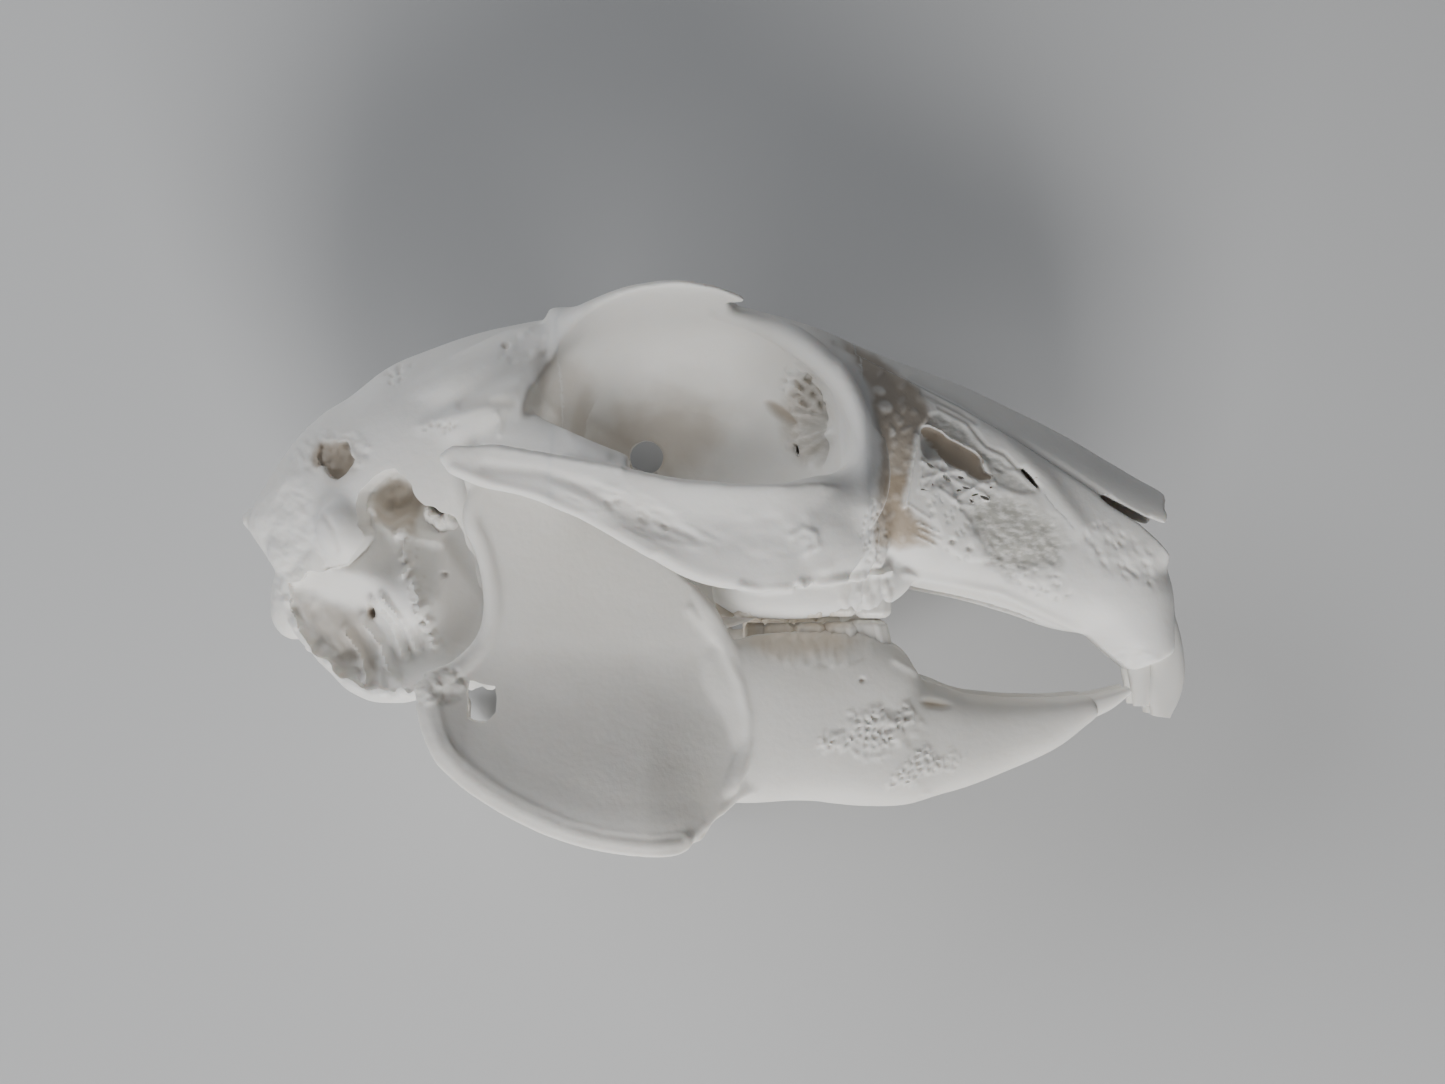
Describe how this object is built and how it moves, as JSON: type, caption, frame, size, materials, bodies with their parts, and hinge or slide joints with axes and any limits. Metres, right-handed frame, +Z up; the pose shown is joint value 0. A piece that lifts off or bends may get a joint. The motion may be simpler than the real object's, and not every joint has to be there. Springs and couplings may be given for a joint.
{
  "type": "rabbit skull",
  "caption": "Dry rabbit skull with its lower jaw closed, lying on its left side: high brow plates, pierced snout, long front teeth, cheek arches and a windowed braincase.",
  "frame": {"origin": "bottom centre of the skull's bounding box, on the surface that it lies on", "axes": "+X towards the nose, +Y towards the roof of the skull, +Z up, which is nearly towards the animal's right side"},
  "size_m": [0.0884, 0.0514, 0.043],
  "materials": {
    "bone": "dry bleached bone, smooth and matt",
    "rough_bone": "dry bone, pitted and slightly yellow",
    "jaw_bone": "dry bleached bone, smooth and matt"
  },
  "bodies": {
    "root": {"braincase": "bone", "frontal": "bone", "nasal_right": "bone", "nasal_left": "bone", "premaxilla_right": "bone", "premaxilla_left": "bone", "zygomatic_arch_right": "bone", "zygomatic_arch_left": "bone", "maxilla": "rough_bone", "skull_base": "rough_bone", "occiput": "rough_bone", "tympanic_bulla_left": "rough_bone", "mandible_right": "jaw_bone", "mandible_left": "jaw_bone"}
  },
  "joints": []
}
